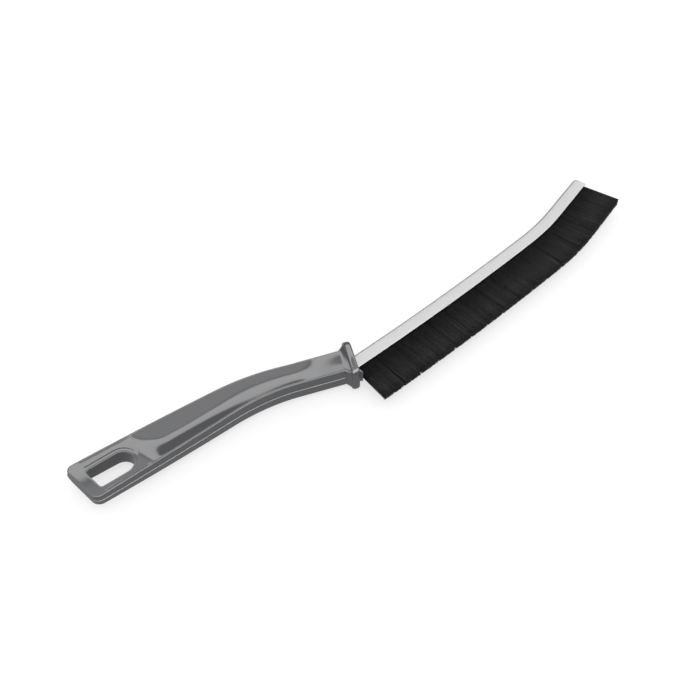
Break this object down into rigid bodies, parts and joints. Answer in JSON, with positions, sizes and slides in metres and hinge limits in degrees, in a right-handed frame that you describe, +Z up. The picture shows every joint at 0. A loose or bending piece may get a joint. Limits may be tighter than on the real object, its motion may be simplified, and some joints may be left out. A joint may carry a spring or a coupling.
{
  "type": "crevice brush",
  "caption": "Slim hand brush for crevices: a gently curved moulded handle with a hang slot, and a thin folded steel strip that holds a dense bed of stiff filaments.",
  "frame": {"origin": "centre of the flat underside of the guard, which the brush rests on when it lies flat", "axes": "+X along the brush from the handle towards the tip, +Y towards the channel's back and away from the filaments' tips, +Z up through the brush's thickness"},
  "size_m": [0.2696, 0.047, 0.0124],
  "materials": {
    "handle_plastic": "gloss, injection moulded, mid grey",
    "channel_steel": "satin, bright cold-rolled strip",
    "core_wire_steel": "drawn wire",
    "filament_nylon": "satin, straight black nylon filaments, cut level"
  },
  "bodies": {
    "root": {"handle": "handle_plastic", "steel_channel": "channel_steel", "core_wire": "core_wire_steel", "filament_bundle_01": "filament_nylon", "filament_bundle_02": "filament_nylon", "filament_bundle_03": "filament_nylon", "filament_bundle_04": "filament_nylon", "filament_bundle_05": "filament_nylon", "filament_bundle_06": "filament_nylon", "filament_bundle_07": "filament_nylon", "filament_bundle_08": "filament_nylon", "filament_bundle_09": "filament_nylon", "filament_bundle_10": "filament_nylon", "filament_bundle_11": "filament_nylon", "filament_bundle_12": "filament_nylon", "filament_bundle_13": "filament_nylon", "filament_bundle_14": "filament_nylon", "filament_bundle_15": "filament_nylon", "filament_bundle_16": "filament_nylon"}
  },
  "joints": []
}
